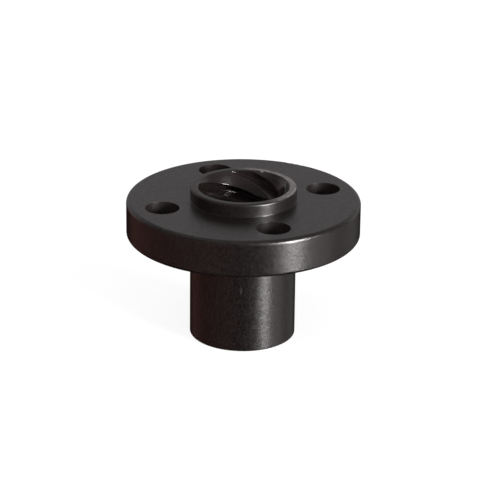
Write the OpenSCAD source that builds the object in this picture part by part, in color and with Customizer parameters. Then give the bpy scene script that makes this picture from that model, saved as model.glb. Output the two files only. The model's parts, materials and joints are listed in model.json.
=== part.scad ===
// Flanged nut for a multi-start trapezoidal lead screw, turned, threaded and drilled from one
// piece of acetal. The origin is the centre of the barrel's end face. +Z runs along the screw,
// from the barrel through the flange to the boss.

/* [Lead screw] */
// Nominal outside diameter of the screw that runs in the nut
screw_d = 8; // [7:0.5:9]
// Distance along the axis from one ridge to the next
pitch = 2; // [1.5:0.25:2.5]
// Number of ridges that wind together, so that one turn moves the nut by starts times the pitch
starts = 4; // [1:1:6]
// Full angle between the two flanks of a groove
flank_angle = 30; // [20:1:40]
// Gap that the nut's grooves leave over the crests of the screw
crest_gap = 0.25; // [0.15:0.05:0.3]
// How far the chamfered rim at each end of the thread reaches past the grooves
rim_margin = 0.1; // [0.05:0.05:0.2]
// Depth of the 45 degree chamfer on that rim
rim_chamfer = 0.4; // [0.2:0.05:0.6]
// Slope of the lead-in below the chamfer, up from the nut's end face
lead_in_angle = 60; // [50:5:70]
// Turn from the first bolt hole to a groove's middle at the barrel's end
groove_start = 46; // [0:1:90]

/* [Barrel] */
// Outside diameter of the barrel, which drops into a hole in the carriage
barrel_d = 10; // [9.8:0.1:12]
// Length of the barrel below the flange
barrel_h = 10; // [6:0.5:20]
// Radius of the round at the barrel's end
barrel_round = 0.15; // [0.1:0.05:0.2]
// Radius of the fillet where the barrel meets the flange
barrel_fillet = 0.5; // [0.2:0.1:0.8]

/* [Flange] */
// Outside diameter of the flange
flange_d = 22; // [21:0.5:26]
// Thickness of the flange
flange_t = 3.5; // [2.5:0.25:6]
// Radius of the round on the flange's upper edge
flange_top_round = 0.4; // [0.1:0.05:0.8]
// Radius of the round on the flange's lower edge
flange_base_round = 0.3; // [0.1:0.05:0.8]

/* [Boss] */
// Outside diameter of the low boss on top of the flange
boss_d = 10; // [9.6:0.1:12]
// Height of the boss above the flange
boss_h = 1.25; // [0.8:0.05:3]
// Radius of the round on the boss's upper edge
boss_round = 0.2; // [0.1:0.05:0.3]

/* [Bolt holes] */
// Number of bolt holes, evenly spaced
hole_count = 4; // [2:1:6]
// Diameter of a bolt hole, a close fit on an M3 screw
hole_d = 3.2; // [2.5:0.1:3.6]
// Diameter of the circle through the centres of the bolt holes
hole_circle_d = 16; // [15:0.1:17]

/* [Hidden] */
$fn = 96;

flange_z = barrel_h;
boss_z = flange_z + flange_t;
nut_h = boss_z + boss_h;

// The ridges reach in to crest_r and the grooves out to root_r. Both are equally wide at mid_r.
lead = starts * pitch;
crest_r = (screw_d - pitch) / 2;
mid_r = (screw_d - pitch / 2) / 2;
root_r = screw_d / 2 + crest_gap;
rim_r = root_r + rim_margin;

// Every cutter passes the face that it leaves by this much.
past = 1;

// A groove's cutter starts inside the bore, where there is nothing to cut.
cutter_r = crest_r - 0.3;
steps_per_turn = 36;
groove_from = -pitch;
groove_to = nut_h + pitch;
groove_steps = ceil((groove_to - groove_from) / lead * steps_per_turn);

// Half of a groove's width along the axis, at radius r
function half_groove(r) = pitch / 4 - (r - mid_r) * tan(flank_angle / 2);

// Corners of a groove's section, as radius and height
groove_section = [
    [cutter_r, -half_groove(cutter_r)],
    [root_r, -half_groove(root_r)],
    [root_r, half_groove(root_r)],
    [cutter_r, half_groove(cutter_r)]
];

// The section at height z on a right-hand helix that starts at the given turn
function section_at(z, turn) = [
    for (corner = groove_section)
        let (a = turn + 360 * z / lead)
            [corner[0] * cos(a), corner[0] * sin(a), z + corner[1]]
];

// Four sides of two triangles between section i and the next
function step_faces(i) = [
    for (k = [0 : 3])
        let (a = 4 * i + k, b = 4 * i + (k + 1) % 4)
            each [[a, b, b + 4], [a, b + 4, a + 4]]
];

module groove_cutter(turn) {
    step_z = (groove_to - groove_from) / groove_steps;
    last = 4 * groove_steps;
    polyhedron(
        points = [for (i = [0 : groove_steps]) each section_at(groove_from + i * step_z, turn)],
        faces = concat(
            [[3, 2, 1, 0], [last, last + 1, last + 2, last + 3]],
            [for (i = [0 : groove_steps - 1]) each step_faces(i)]
        )
    );
}

// What a round of radius r takes off a corner that points to +X and +Y, seen from the round's centre
module corner_waste(r) {
    difference() {
        square(r + past);
        circle(r);
    }
}

// What a fillet of radius r adds in a corner, seen from the fillet's centre
module fillet_fill(r) {
    difference() {
        translate([-r - past / 4, 0]) square(r + past / 4);
        circle(r);
    }
}

module barrel_profile() {
    difference() {
        square([barrel_d / 2, boss_z]);
        translate([barrel_d / 2 - barrel_round, barrel_round])
            mirror([0, 1]) corner_waste(barrel_round);
    }
    translate([barrel_d / 2 + barrel_fillet, flange_z - barrel_fillet])
        fillet_fill(barrel_fillet);
}

module flange_profile() {
    difference() {
        translate([0, flange_z]) square([flange_d / 2, flange_t]);
        translate([flange_d / 2 - flange_top_round, boss_z - flange_top_round])
            corner_waste(flange_top_round);
        translate([flange_d / 2 - flange_base_round, flange_z + flange_base_round])
            mirror([0, 1]) corner_waste(flange_base_round);
    }
}

module boss_profile() {
    difference() {
        translate([0, boss_z - past]) square([boss_d / 2, boss_h + past]);
        translate([boss_d / 2 - boss_round, nut_h - boss_round]) corner_waste(boss_round);
    }
}

// Half of the mouth at one end: the chamfered rim, then the steeper lead-in down to the ridges
module mouth_profile() {
    lead_in_r = rim_r - rim_chamfer;
    lead_in_h = (lead_in_r - crest_r) * tan(lead_in_angle);
    polygon([
        [0, -past],
        [rim_r + past, -past],
        [lead_in_r, rim_chamfer],
        [crest_r, rim_chamfer + lead_in_h],
        [0, rim_chamfer + lead_in_h]
    ]);
}

// The bore at the ridges' radius, with a mouth at each end
module bore_profile() {
    translate([0, -past]) square([crest_r, nut_h + 2 * past]);
    mouth_profile();
    translate([0, nut_h]) mirror([0, 1]) mouth_profile();
}

module turned_body() {
    rotate_extrude()
        difference() {
            union() {
                barrel_profile();
                flange_profile();
                boss_profile();
            }
            bore_profile();
        }
}

module bolt_holes() {
    for (i = [0 : hole_count - 1])
        rotate(360 * i / hole_count)
            translate([hole_circle_d / 2, 0, flange_z - past])
                cylinder(d = hole_d, h = flange_t + 2 * past);
}

module nut() {
    color("#2b2a2b")
        difference() {
            turned_body();
            bolt_holes();
            for (i = [0 : starts - 1]) groove_cutter(groove_start + 360 * i / starts);
        }
}

nut();
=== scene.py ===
# %% [markdown]
# # A flanged lead screw nut in black acetal
# The nut is one solid: a barrel, a flange with four bolt holes, a low boss and a four-start
# thread. Its CAD solid already has every form, down to the thread and the rounded edges, so
# nothing is modelled twice here. This lesson is about finish and light: how a turned black
# plastic is told from a flat black shape by its grain, its softened edges and its reflections.

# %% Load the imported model
import json
import math

import bpy
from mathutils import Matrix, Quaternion, Vector


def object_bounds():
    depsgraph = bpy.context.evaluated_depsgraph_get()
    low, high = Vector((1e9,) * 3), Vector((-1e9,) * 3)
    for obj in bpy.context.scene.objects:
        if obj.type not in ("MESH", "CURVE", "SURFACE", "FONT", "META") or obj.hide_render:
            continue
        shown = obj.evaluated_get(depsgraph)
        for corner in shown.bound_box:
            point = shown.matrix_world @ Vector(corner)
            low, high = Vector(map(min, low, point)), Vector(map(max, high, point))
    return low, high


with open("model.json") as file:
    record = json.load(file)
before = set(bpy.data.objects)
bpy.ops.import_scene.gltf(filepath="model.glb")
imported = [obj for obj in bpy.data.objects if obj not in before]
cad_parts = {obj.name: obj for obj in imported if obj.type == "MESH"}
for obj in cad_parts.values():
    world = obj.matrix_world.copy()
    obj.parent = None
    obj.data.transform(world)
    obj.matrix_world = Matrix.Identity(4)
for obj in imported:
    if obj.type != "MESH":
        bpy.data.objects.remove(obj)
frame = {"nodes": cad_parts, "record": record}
cad_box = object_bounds()
nut = frame["nodes"]["nut"]
scene = bpy.context.scene
scene.view_settings.view_transform = "Standard"
print("nut:", len(nut.data.polygons), "faces,", [round(1000 * v, 2) for v in cad_box[1]], "mm")

# %% [markdown]
# ## Sizes to work from
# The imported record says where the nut's own features are. Reading them here, and not writing
# them again as numbers, keeps the finish in place if the part is ever made in another size. Only
# the width of the flat rim, from the boss's wall in to the mouth, isn't in the record.

# %% Read the nut's features
MM = 0.001
RIM_WIDTH = 0.65 * MM

mounts = {mount["name"]: mount for mount in frame["record"]["mounts"]}
boss_top = cad_box[1].z
flange_top = mounts["flange_top"]["pos_m"][2]
barrel_radius = mounts["barrel"]["dims"]["r_mm"] * MM
ridge_length = mounts["screw_thread"]["dims"]["length_mm"] * MM
hole_circle = mounts["bolt_holes"]["dims"]["pcd_mm"] / 2 * MM
hole_radius = mounts["bolt_holes"]["dims"]["hole_r_mm"] * MM
mouth_radius = mounts["boss"]["dims"]["r_mm"] * MM - RIM_WIDTH
print("flange's top at", flange_top, "- boss to", round(boss_top, 5))

# %% [markdown]
# ## Camera
# A small part is best shown through a long lens from a little way off, so that its circles
# stay true ellipses and its upright walls stay upright. The camera looks down at the flange by
# about twenty degrees, which shows the boss and the mouth of the thread and keeps the barrel
# in sight. It is placed by two angles and a distance from the middle of the flange.

# %% Place the camera
CAMERA_AZIMUTH = math.radians(-20.0)
CAMERA_ELEVATION = math.radians(21.0)
CAMERA_DISTANCE = 236 * MM
CAMERA_ROLL = math.radians(0.58)
LENS = 189.8
AIM_LEFT = 0.384 * MM
AIM_DROP = 3.82 * MM

flat = math.cos(CAMERA_ELEVATION)
back = Vector((
    math.sin(CAMERA_AZIMUTH) * flat,
    -math.cos(CAMERA_AZIMUTH) * flat,
    math.sin(CAMERA_ELEVATION),
))
right = Vector((math.cos(CAMERA_AZIMUTH), math.sin(CAMERA_AZIMUTH), 0))
above = back.cross(right)
flange_middle = Vector((0, 0, flange_top))
aim = flange_middle - right * AIM_LEFT - above * AIM_DROP

camera = bpy.data.objects.new("camera", bpy.data.cameras.new("camera"))
scene.collection.objects.link(camera)
scene.camera = camera
camera.data.lens = LENS
camera.data.sensor_width = 36
camera.data.clip_start = 1 * MM
camera.data.clip_end = 10
camera.location = flange_middle + back * CAMERA_DISTANCE
camera.rotation_mode = "QUATERNION"
turn = (aim - camera.location).to_track_quat("-Z", "Y")
camera.rotation_quaternion = turn @ Quaternion((0, 0, 1), CAMERA_ROLL)
print("camera at", [round(1000 * v) for v in camera.location], "mm")

# %% [markdown]
# ## Helpers for node trees
# The world, the materials and the groups below are small graphs. These helpers keep the cells
# short: they add a node with its properties and inputs, do one step of arithmetic, ease a value
# from one level to another, mix two inputs, and make or place a group. An input may be a plain
# number or colour, or the socket of another node to link from.

# %% Node helpers
# The Mix node's two inputs and its output, by the kind of value that it mixes
MIX_SOCKETS = {"FLOAT": (2, 3, 0), "VECTOR": (4, 5, 1), "RGBA": (6, 7, 2)}


def put(tree, socket, value):
    if isinstance(value, bpy.types.NodeSocket):
        tree.links.new(value, socket)
    else:
        socket.default_value = value


def add(tree, kind, inputs=None, **properties):
    node = tree.nodes.new("ShaderNode" + kind)
    for name, value in properties.items():
        setattr(node, name, value)
    for name, value in (inputs or {}).items():
        put(tree, node.inputs[name], value)
    return node


def step(tree, operation, *values):
    node = add(tree, "Math", operation=operation)
    for socket, value in zip(node.inputs, values):
        put(tree, socket, value)
    return node.outputs["Value"]


def ramp(tree, value, start, end, low=0.0, high=1.0):
    """Low up to the start and high from the end on, with a smooth change between them."""
    settings = {"Value": value, "From Min": start, "From Max": end, "To Min": low, "To Max": high}
    return add(tree, "MapRange", settings, interpolation_type="SMOOTHSTEP").outputs["Result"]


def blend(tree, kind, factor, first, second):
    node = add(tree, "Mix", {"Factor": factor}, data_type=kind)
    first_socket, second_socket, result_socket = MIX_SOCKETS[kind]
    put(tree, node.inputs[first_socket], first)
    put(tree, node.inputs[second_socket], second)
    return node.outputs[result_socket]


def new_group(name, inputs, outputs):
    group = bpy.data.node_groups.new(name, "ShaderNodeTree")
    for title, kind, value in inputs:
        socket = group.interface.new_socket(title, in_out="INPUT", socket_type="NodeSocket" + kind)
        if value is not None:
            socket.default_value = value
    for title, kind in outputs:
        group.interface.new_socket(title, in_out="OUTPUT", socket_type="NodeSocket" + kind)
    return group, group.nodes.new("NodeGroupInput"), group.nodes.new("NodeGroupOutput")


def place_group(tree, group, inputs):
    node = tree.nodes.new("ShaderNodeGroup")
    node.node_tree = group
    for name, value in inputs.items():
        put(tree, node.inputs[name], value)
    return node


print("helpers ready")

# %% [markdown]
# ## The room that the nut mirrors
# Black plastic has almost no colour of its own: what the eye reads as its shape is what it
# mirrors. So the room matters more than the lamps. It could be built from panels and lamps,
# but drawing it in the world by direction is shorter and leaves nothing to hide from view. A
# bright window stands to the right of the camera, brighter still where it shows the sky, and
# draws the band down the flange, the boss and the barrel. Its glare spreads over what lies
# below it. The pale wall behind the nut gives the flange's top its grey, a dim light comes
# from the right, and what stands low on the left is dark and warm. A faint glow from the upper
# walls and the ceiling keeps the top readable from every other side. Each patch is given by its
# bearing from the camera, in degrees to the right, and by the elevations between which it lies.
# A half width over 180 degrees goes all round, and an upper end over 90 closes it overhead.

# %% Draw the room in the world
camera_side = math.atan2(back.y, back.x)

world = bpy.data.worlds.new("studio room")
scene.world = world
world.use_nodes = True
room = world.node_tree
room.nodes.clear()
direction = add(room, "SeparateXYZ", {"Vector": add(room, "TexCoord").outputs["Generated"]})
bearing = step(room, "ARCTAN2", direction.outputs["Y"], direction.outputs["X"])
elevation = step(room, "ARCSINE", direction.outputs["Z"])


def patch(level, right, half_width, low, high, soft):
    """Brightness with soft borders, by its bearing from the camera and its two elevations."""
    right, half_width, low, high, soft = map(math.radians, (right, half_width, low, high, soft))
    apart = step(room, "SUBTRACT", bearing, camera_side + right)
    apart = step(room, "ARCCOSINE", step(room, "COSINE", apart))
    across = ramp(room, apart, half_width - soft, half_width + soft, level, 0.0)
    up = ramp(room, elevation, low - soft, low + soft)
    down = ramp(room, elevation, high - soft, high + soft, 1.0, 0.0)
    return step(room, "MULTIPLY", across, step(room, "MULTIPLY", up, down))


WINDOW_BEARING = 48.5
WINDOW_HALF_WIDTH = 7.3
WINDOW_TOP = 21
ALL_ROUND = 200
OVERHEAD = 110
window = patch(
    58, right=WINDOW_BEARING, half_width=WINDOW_HALF_WIDTH, low=-17, high=WINDOW_TOP, soft=2
)
sky = patch(
    60, right=WINDOW_BEARING, half_width=WINDOW_HALF_WIDTH, low=8, high=WINDOW_TOP, soft=2
)
glare = patch(0.8, right=62, half_width=32, low=-38, high=-14, soft=8)
side = patch(0.27, right=95, half_width=50, low=-40, high=6, soft=10)
wall = patch(0.34, right=180, half_width=60, low=-8, high=42, soft=6)
upper_walls = patch(0.13, right=0, half_width=ALL_ROUND, low=6, high=OVERHEAD, soft=8)
ceiling = patch(0.25, right=0, half_width=ALL_ROUND, low=52, high=OVERHEAD, soft=8)
neutral = window
for more in (sky, glare, side, wall, upper_walls, ceiling):
    neutral = step(room, "ADD", neutral, more)
warm = patch(0.2, right=-80, half_width=62, low=-38, high=15, soft=10)
lit_room = add(room, "Background", {"Color": (1, 0.96, 0.965, 1), "Strength": neutral})
dark_side = add(room, "Background", {"Color": (1, 0.42, 0.36, 1), "Strength": warm})
both_sides = add(room, "AddShader")
put(room, both_sides.inputs[0], lit_room.outputs["Background"])
put(room, both_sides.inputs[1], dark_side.outputs["Background"])
add(room, "OutputWorld", {"Surface": both_sides.outputs["Shader"]})
print("room drawn with", len(room.nodes), "nodes")

# %% [markdown]
# ## Floor and lamp
# The nut stands on its barrel on a plain pale table, a hair above it, so that no two faces lie
# in one plane. A big soft lamp, high and to the left of the camera, fills the side that the
# window leaves dark. It is so wide that the shadow under the flange has no edge. It stays out
# of the mirror image, where it would draw a bright line round every rounded edge, and so does
# the table, because what the nut's walls mirror is dark. The table is near white, and what
# the camera sees of it is lifted towards white, so that only a soft shadow is left.

# %% Lay the floor
TABLE_HALF = 2.0
TABLE_GAP = 0.02 * MM
TABLE_LIFT = 0.88

mesh = bpy.data.meshes.new("table")
table = bpy.data.objects.new("table", mesh)
scene.collection.objects.link(table)
corners = ((-1, -1), (1, -1), (1, 1), (-1, 1))
points = [(TABLE_HALF * x, TABLE_HALF * y, -TABLE_GAP) for x, y in corners]
mesh.from_pydata(points, [], [(0, 1, 2, 3)])
table.visible_glossy = False

table_paint = bpy.data.materials.new("white table")
table_paint.use_nodes = True
tree = table_paint.node_tree
tree.nodes.clear()
paint = add(tree, "BsdfDiffuse", {"Color": (0.95, 0.95, 0.95, 1)})
white = add(tree, "Emission", {"Color": (1, 1, 1, 1), "Strength": 1.0})
rays = add(tree, "LightPath")
seen = step(tree, "ADD", rays.outputs["Is Camera Ray"], rays.outputs["Is Glossy Ray"])
seen = step(tree, "ADD", seen, rays.outputs["Is Transmission Ray"])
lift = step(tree, "MULTIPLY", seen, TABLE_LIFT)
mix = add(tree, "MixShader", {"Fac": lift})
put(tree, mix.inputs[1], paint.outputs["BSDF"])
put(tree, mix.inputs[2], white.outputs["Emission"])
add(tree, "OutputMaterial", {"Surface": mix.outputs["Shader"]})
mesh.materials.append(table_paint)
print("table is", 2 * TABLE_HALF, "m square")

# %% Hang the lamp
LAMP_ENERGY = 3.4
LAMP_SPREAD = math.radians(100)
LAMP_TILT = math.radians(42)
LAMP_LEFT = math.radians(25)

lamp = bpy.data.objects.new("soft lamp", bpy.data.lights.new("soft lamp", "SUN"))
scene.collection.objects.link(lamp)
lamp.data.energy = LAMP_ENERGY
lamp.data.angle = LAMP_SPREAD
lamp.rotation_euler = (LAMP_TILT, 0, CAMERA_AZIMUTH - LAMP_LEFT)
lamp.visible_glossy = False
print("lamp energy", lamp.data.energy)

# %% [markdown]
# ## Grain group
# A turned or moulded acetal surface is never quite smooth. Under the window it breaks up into a
# fine sparkle of light and dark grains. Carving grains this small into the mesh would take
# millions of faces, so they are noise. Two sizes of grain, mixed, give the height that tints the
# colour. A wider, cloudy noise with a little of that height in it is the relief for the bump,
# and the same clouds, stretched to full contrast, are the speckle that varies the gloss.

# %% Build the grain group
grain_group, given, result = new_group(
    "fine grain",
    [("Position", "Vector", None), ("Grain Size", "Float", 0.0002)],
    [("Height", "Float"), ("Relief", "Float"), ("Speckle", "Float")],
)
per_metre = step(grain_group, "DIVIDE", 1.0, given.outputs["Grain Size"])


def grain_noise(finer_by, detail):
    scale = step(grain_group, "MULTIPLY", per_metre, finer_by)
    inputs = {"Vector": given.outputs["Position"], "Scale": scale, "Detail": detail}
    return add(grain_group, "TexNoise", inputs).outputs["Fac"]


coarse = grain_noise(1.0, detail=2.0)
fine = grain_noise(2.3, detail=1.0)
cloudy = grain_noise(0.45, detail=1.5)
both = step(grain_group, "ADD", coarse, fine)
faint_grain = step(grain_group, "MULTIPLY", both, 0.25)
put(grain_group, result.inputs["Height"], step(grain_group, "MULTIPLY", both, 0.5))
put(grain_group, result.inputs["Relief"], step(grain_group, "ADD", cloudy, faint_grain))
put(grain_group, result.inputs["Speckle"], ramp(grain_group, cloudy, 0.3, 0.7))
print("grain group has", len(grain_group.nodes), "nodes")

# %% [markdown]
# ## Surface group
# The cutting tools leave each surface a little different. This group says where each one is,
# from the sizes in the record: the tapped thread, the turned mouth above and below it, the
# drilled bolt holes, the boss, and the flat rim round the mouth on top of it. The surfaces
# could be separate material slots, but masks need no change to the CAD mesh. All four holes
# are found at once by folding the flange twice, so that they lie on top of each other.

# %% Build the surface group
BORE_BORDER = 0.03 * MM
RIDGE_BORDER = 0.1 * MM
BOSS_BORDER = 0.1 * MM

surface_group, given, result = new_group(
    "cut surfaces",
    [
        ("Position", "Vector", None),
        ("Bore Radius", "Float", 0.0043),
        ("Ridge Half Height", "Float", 0.0053),
        ("Middle", "Float", 0.0074),
        ("Circle Radius", "Float", 0.008),
        ("Hole Radius", "Float", 0.0016),
        ("Rim Level", "Float", 0.0147),
        ("Boss Foot", "Float", 0.0137),
    ],
    [(surface, "Float") for surface in ("Thread", "Mouth", "Holes", "Rim", "Boss")],
)
parts = add(surface_group, "SeparateXYZ", {"Vector": given.outputs["Position"]})
x, y, z = (parts.outputs[axis] for axis in "XYZ")


def reckon(operation, *values):
    return step(surface_group, operation, *values)


def distance(across, along):
    return reckon("SQRT", reckon("ADD", reckon("POWER", across, 2), reckon("POWER", along, 2)))


def inside(value, limit, soft):
    """One below the limit and zero above it, with a soft border."""
    start = reckon("SUBTRACT", limit, soft)
    return ramp(surface_group, value, start, reckon("ADD", limit, soft), 1.0, 0.0)


in_bore = inside(distance(x, y), given.outputs["Bore Radius"], BORE_BORDER)
outside_bore = reckon("SUBTRACT", 1.0, in_bore)
from_middle = reckon("ABSOLUTE", reckon("SUBTRACT", z, given.outputs["Middle"]))
ridges = inside(from_middle, given.outputs["Ridge Half Height"], RIDGE_BORDER)

folded = [reckon("ABSOLUTE", x), reckon("ABSOLUTE", y)]
far_x = reckon("MAXIMUM", *folded)
near_x = reckon("MINIMUM", *folded)
from_hole = distance(reckon("SUBTRACT", far_x, given.outputs["Circle Radius"]), near_x)

top_face = reckon("GREATER_THAN", z, given.outputs["Rim Level"])
foot = given.outputs["Boss Foot"]
raised = ramp(surface_group, z, foot, reckon("ADD", foot, BOSS_BORDER))
masks = {
    "Thread": reckon("MULTIPLY", in_bore, ridges),
    "Mouth": reckon("MULTIPLY", in_bore, reckon("SUBTRACT", 1.0, ridges)),
    "Holes": inside(from_hole, given.outputs["Hole Radius"], BORE_BORDER),
    "Rim": reckon("MULTIPLY", top_face, outside_bore),
    "Boss": reckon("MULTIPLY", raised, outside_bore),
}
for surface, mask in masks.items():
    put(surface_group, result.inputs[surface], mask)
print("surface group has", len(surface_group.nodes), "nodes")

# %% [markdown]
# ## Wear group
# A nick on the rim, a short scratch on the barrel and a speck at its foot are small spots of
# wear. One group serves all three: a spot is given by its middle and its half sizes along X,
# Y and Z, and noise breaks its border, so that it never looks stamped. The grey on the rim,
# lighter on the window's side, is not wear: it is a painted highlight, made in the material.

# %% Build the wear group
RAGGED_SIZE = 0.12 * MM

wear_group, given, result = new_group(
    "rubbed spot",
    [("Position", "Vector", None), ("Middle", "Vector", None), ("Half Size", "Vector", None)],
    [("Spot", "Float")],
)
ragged = add(
    wear_group,
    "TexNoise",
    {"Vector": given.outputs["Position"], "Scale": 1 / RAGGED_SIZE, "Detail": 2.0},
)
apart = add(wear_group, "VectorMath", operation="SUBTRACT")
put(wear_group, apart.inputs[0], given.outputs["Position"])
put(wear_group, apart.inputs[1], given.outputs["Middle"])
scaled = add(wear_group, "VectorMath", operation="DIVIDE")
put(wear_group, scaled.inputs[0], apart.outputs["Vector"])
put(wear_group, scaled.inputs[1], given.outputs["Half Size"])
reach = add(wear_group, "VectorMath", {"Vector": scaled.outputs["Vector"]}, operation="LENGTH")
raggedness = step(wear_group, "SUBTRACT", ragged.outputs["Fac"], 0.5)
reach = step(wear_group, "ADD", reach.outputs["Value"], raggedness)
put(wear_group, result.inputs["Spot"], ramp(wear_group, reach, 0.5, 1.0, 1.0, 0.0))
print("wear group has", len(wear_group.nodes), "nodes")

# %% [markdown]
# ## Black acetal
# The plastic is black with a trace of warm brown in the shadows, and satin, so that a window
# leaves a soft band and not a sharp picture. The boss and the holes are rougher. The thread
# and the mouth are smoother, because the tap burnishes them, so they glint where an edge
# turns to the light, and every cut surface is a little paler. The softened edges come from
# the Bevel node, which rounds only the shading: wide on the thread's ridges, narrow on the
# rest and almost none at the drilled holes. The gloss itself comes from the shader alone.

# %% Make the black acetal
GRAIN_SIZE = 0.18 * MM
GRAIN_DEPTH = 0.0085 * MM
THREAD_GRAIN = 0.05
MASK_MARGIN = 0.05 * MM
DARK_GRAIN = (0.0018, 0.0009, 0.0009, 1)
LIGHT_GRAIN = (0.0060, 0.0046, 0.0045, 1)
CUT_COLOUR = (0.0070, 0.0052, 0.0049, 1)
WORN_AND_SHEEN_COLOUR = (0.085, 0.080, 0.078, 1)
LOWEST_ROUGHNESS = 0.29
HIGHEST_ROUGHNESS = 0.35
CUT_ROUGHNESS = {"Thread": 0.24, "Mouth": 0.2, "Boss": 0.37, "Holes": 0.38}
SOFT_EDGE = 0.1 * MM
TAPPED_EDGE = 0.35 * MM
DRILLED_EDGE = 0.03 * MM

acetal = bpy.data.materials.new("black acetal")
acetal.use_nodes = True
tree = acetal.node_tree
tree.nodes.clear()
position = add(tree, "TexCoord").outputs["Object"]
grain = place_group(tree, grain_group, {"Position": position, "Grain Size": GRAIN_SIZE})
surfaces = place_group(tree, surface_group, {
    "Position": position,
    "Bore Radius": mouth_radius,
    "Ridge Half Height": ridge_length / 2,
    "Middle": boss_top / 2,
    "Circle Radius": hole_circle,
    "Hole Radius": hole_radius + MASK_MARGIN,
    "Rim Level": boss_top - MASK_MARGIN,
    "Boss Foot": flange_top + MASK_MARGIN,
})


def spot(bearing_degrees, radius, level, half_size_mm):
    turned = math.radians(bearing_degrees)
    middle = (radius * math.cos(turned), radius * math.sin(turned), level)
    half_size = tuple(size * MM for size in half_size_mm)
    sizes = {"Position": position, "Middle": middle, "Half Size": half_size}
    return place_group(tree, wear_group, sizes).outputs["Spot"]


SCRATCH_LEVEL = 6.2 * MM
SPECK_LEVEL = 0.5 * MM
MARK_STRENGTH = 0.12
nick = spot(46.5, mouth_radius, boss_top, half_size_mm=(0.18, 0.18, 0.3))
scratch = spot(248.5, barrel_radius, SCRATCH_LEVEL, half_size_mm=(0.1, 0.3, 0.45))
speck = spot(191.5, barrel_radius, SPECK_LEVEL, half_size_mm=(0.3, 0.15, 0.12))
faint = step(tree, "MULTIPLY", step(tree, "MAXIMUM", scratch, speck), MARK_STRENGTH)
marks = step(tree, "MAXIMUM", nick, faint)

# Painted highlight: the flat rim is painted lighter on the side towards the window, in patches.
SHEEN_SIDE = (1, 0, 0)
SHEEN_STARTS = 0.3 * MM
SHEEN_FULL = 3.2 * MM
facing = add(tree, "VectorMath", operation="DOT_PRODUCT")
put(tree, facing.inputs[0], position)
put(tree, facing.inputs[1], SHEEN_SIDE)
lit_side = ramp(tree, facing.outputs["Value"], SHEEN_STARTS, SHEEN_FULL)
patchy = ramp(tree, grain.outputs["Speckle"], 0.0, 0.8, 0.5, 1.0)
window_sheen = step(tree, "MULTIPLY", surfaces.outputs["Rim"], step(tree, "MULTIPLY", lit_side, patchy))

speckled = ramp(tree, grain.outputs["Height"], 0.38, 0.62)
colour = blend(tree, "RGBA", speckled, DARK_GRAIN, LIGHT_GRAIN)
cut = step(tree, "MAXIMUM", surfaces.outputs["Mouth"], surfaces.outputs["Thread"])
cut = step(tree, "MAXIMUM", surfaces.outputs["Holes"], cut)
colour = blend(tree, "RGBA", cut, colour, CUT_COLOUR)
# The worn colour paints the real nick, scratch and speck, and also the rim's painted highlight.
colour = blend(tree, "RGBA", step(tree, "MAXIMUM", window_sheen, marks), colour, WORN_AND_SHEEN_COLOUR)

rough = ramp(tree, grain.outputs["Speckle"], 0.0, 1.0, LOWEST_ROUGHNESS, HIGHEST_ROUGHNESS)
for surface, roughness in CUT_ROUGHNESS.items():
    rough = blend(tree, "FLOAT", surfaces.outputs[surface], rough, roughness)

soft, tapped, drilled = (
    add(tree, "Bevel", {"Radius": radius}, samples=8).outputs["Normal"]
    for radius in (SOFT_EDGE, TAPPED_EDGE, DRILLED_EDGE)
)
edges = blend(tree, "VECTOR", surfaces.outputs["Thread"], soft, tapped)
edges = blend(tree, "VECTOR", surfaces.outputs["Holes"], edges, drilled)
depth = ramp(tree, surfaces.outputs["Thread"], 0.0, 1.0, 1.0, THREAD_GRAIN)
height = step(tree, "MULTIPLY", grain.outputs["Relief"], depth)
bump = add(tree, "Bump", {"Strength": 1.0, "Distance": GRAIN_DEPTH, "Height": height})
put(tree, bump.inputs["Normal"], edges)
plastic = add(tree, "BsdfPrincipled", {
    "Base Color": colour,
    "Roughness": rough,
    "IOR": 1.48,
    "Normal": bump.outputs["Normal"],
})
add(tree, "OutputMaterial", {"Surface": plastic.outputs["BSDF"]})
nut.data.materials.clear()
nut.data.materials.append(acetal)
print("nut is finished in", acetal.name)
